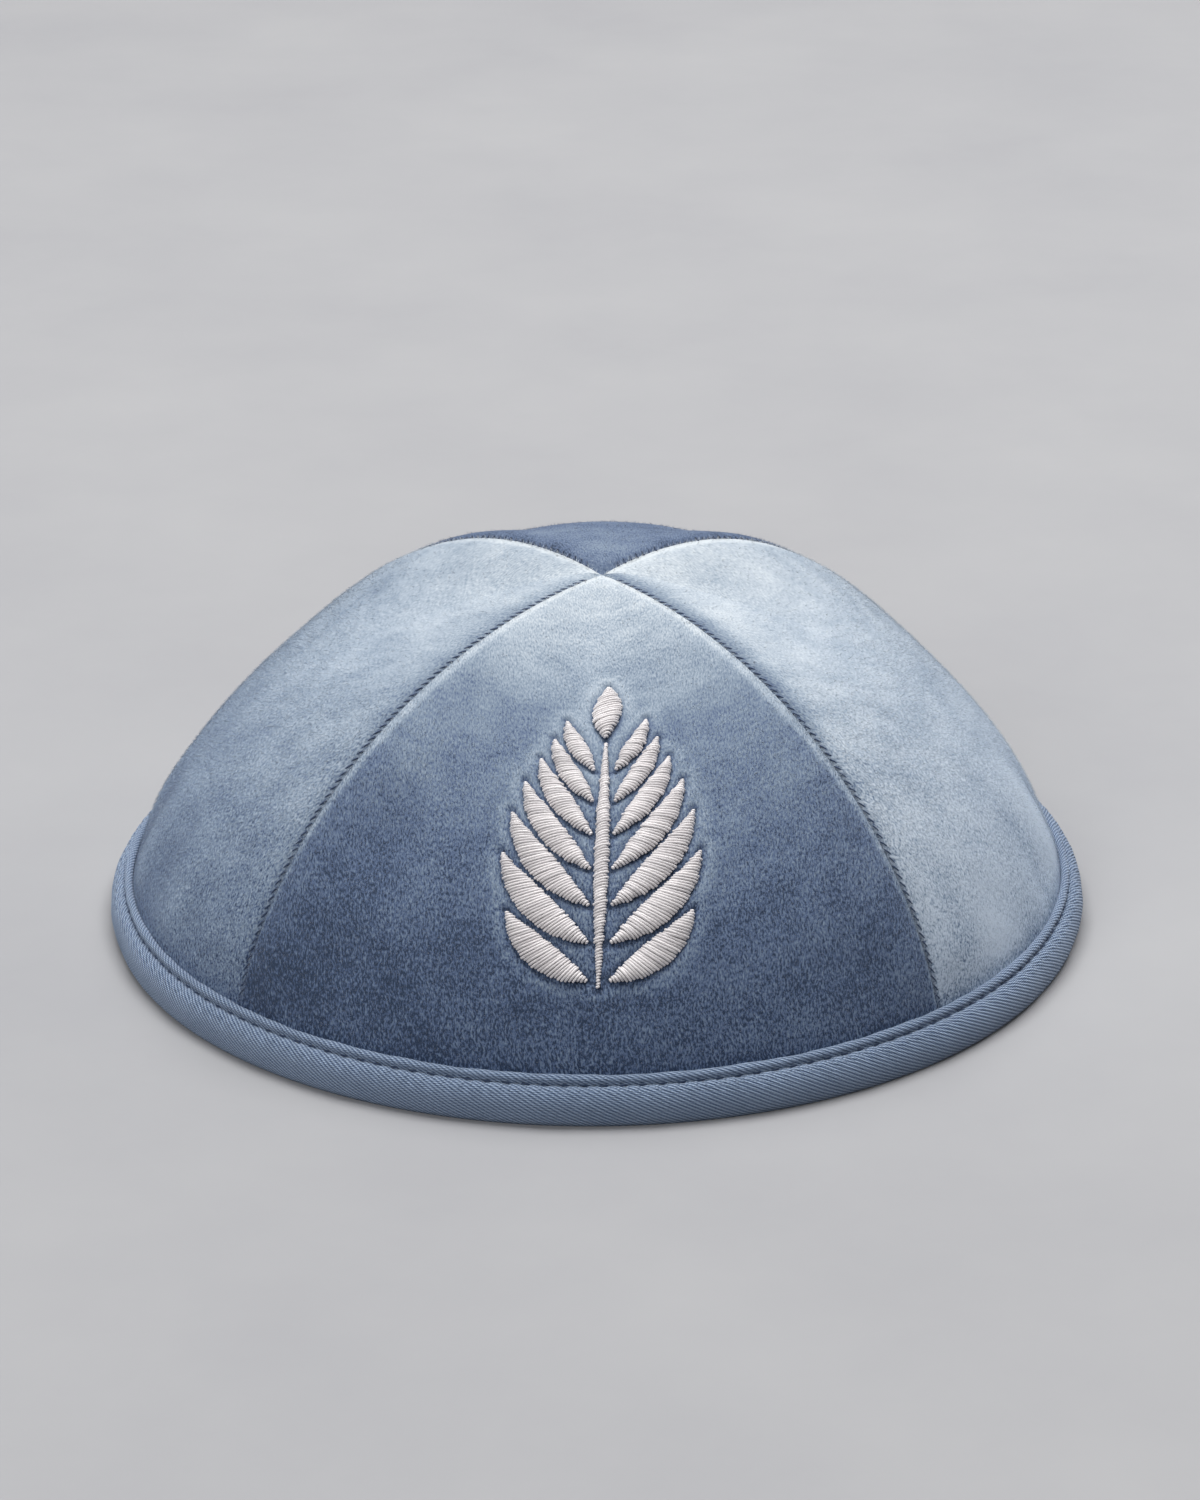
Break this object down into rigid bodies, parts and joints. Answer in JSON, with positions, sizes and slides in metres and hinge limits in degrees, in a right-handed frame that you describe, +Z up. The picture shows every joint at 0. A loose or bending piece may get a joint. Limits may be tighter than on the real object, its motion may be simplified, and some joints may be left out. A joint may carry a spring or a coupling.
{
  "type": "kippah skullcap",
  "caption": "Low domed skullcap sewn from pointed velvet panels, with a padded twill-bound rim and a raised satin-stitched leafy sprig on the front.",
  "frame": {"origin": "centre of the rim on the plane that the cap rests on", "axes": "+Z up towards the crown, -Y towards the embroidered front panel, +X to the right when facing that panel"},
  "size_m": [0.172, 0.172, 0.063],
  "materials": {
    "velvet": "short-pile blue velvet with a soft directional nap",
    "twill_tape": "blue cotton twill tape, matte",
    "silver_thread": "silver-white embroidery thread with a satin gleam"
  },
  "bodies": {
    "root": {"panel_front": "velvet", "panel_right": "velvet", "panel_back": "velvet", "panel_left": "velvet", "rim_binding": "twill_tape", "embroidered_stem": "silver_thread", "embroidered_leaf_top": "silver_thread", "embroidered_leaf_left_1": "silver_thread", "embroidered_leaf_right_1": "silver_thread", "embroidered_leaf_left_2": "silver_thread", "embroidered_leaf_right_2": "silver_thread", "embroidered_leaf_left_3": "silver_thread", "embroidered_leaf_right_3": "silver_thread", "embroidered_leaf_left_4": "silver_thread", "embroidered_leaf_right_4": "silver_thread", "embroidered_leaf_left_5": "silver_thread", "embroidered_leaf_right_5": "silver_thread", "embroidered_leaf_left_6": "silver_thread", "embroidered_leaf_right_6": "silver_thread", "embroidered_leaf_left_7": "silver_thread", "embroidered_leaf_right_7": "silver_thread"}
  },
  "joints": []
}
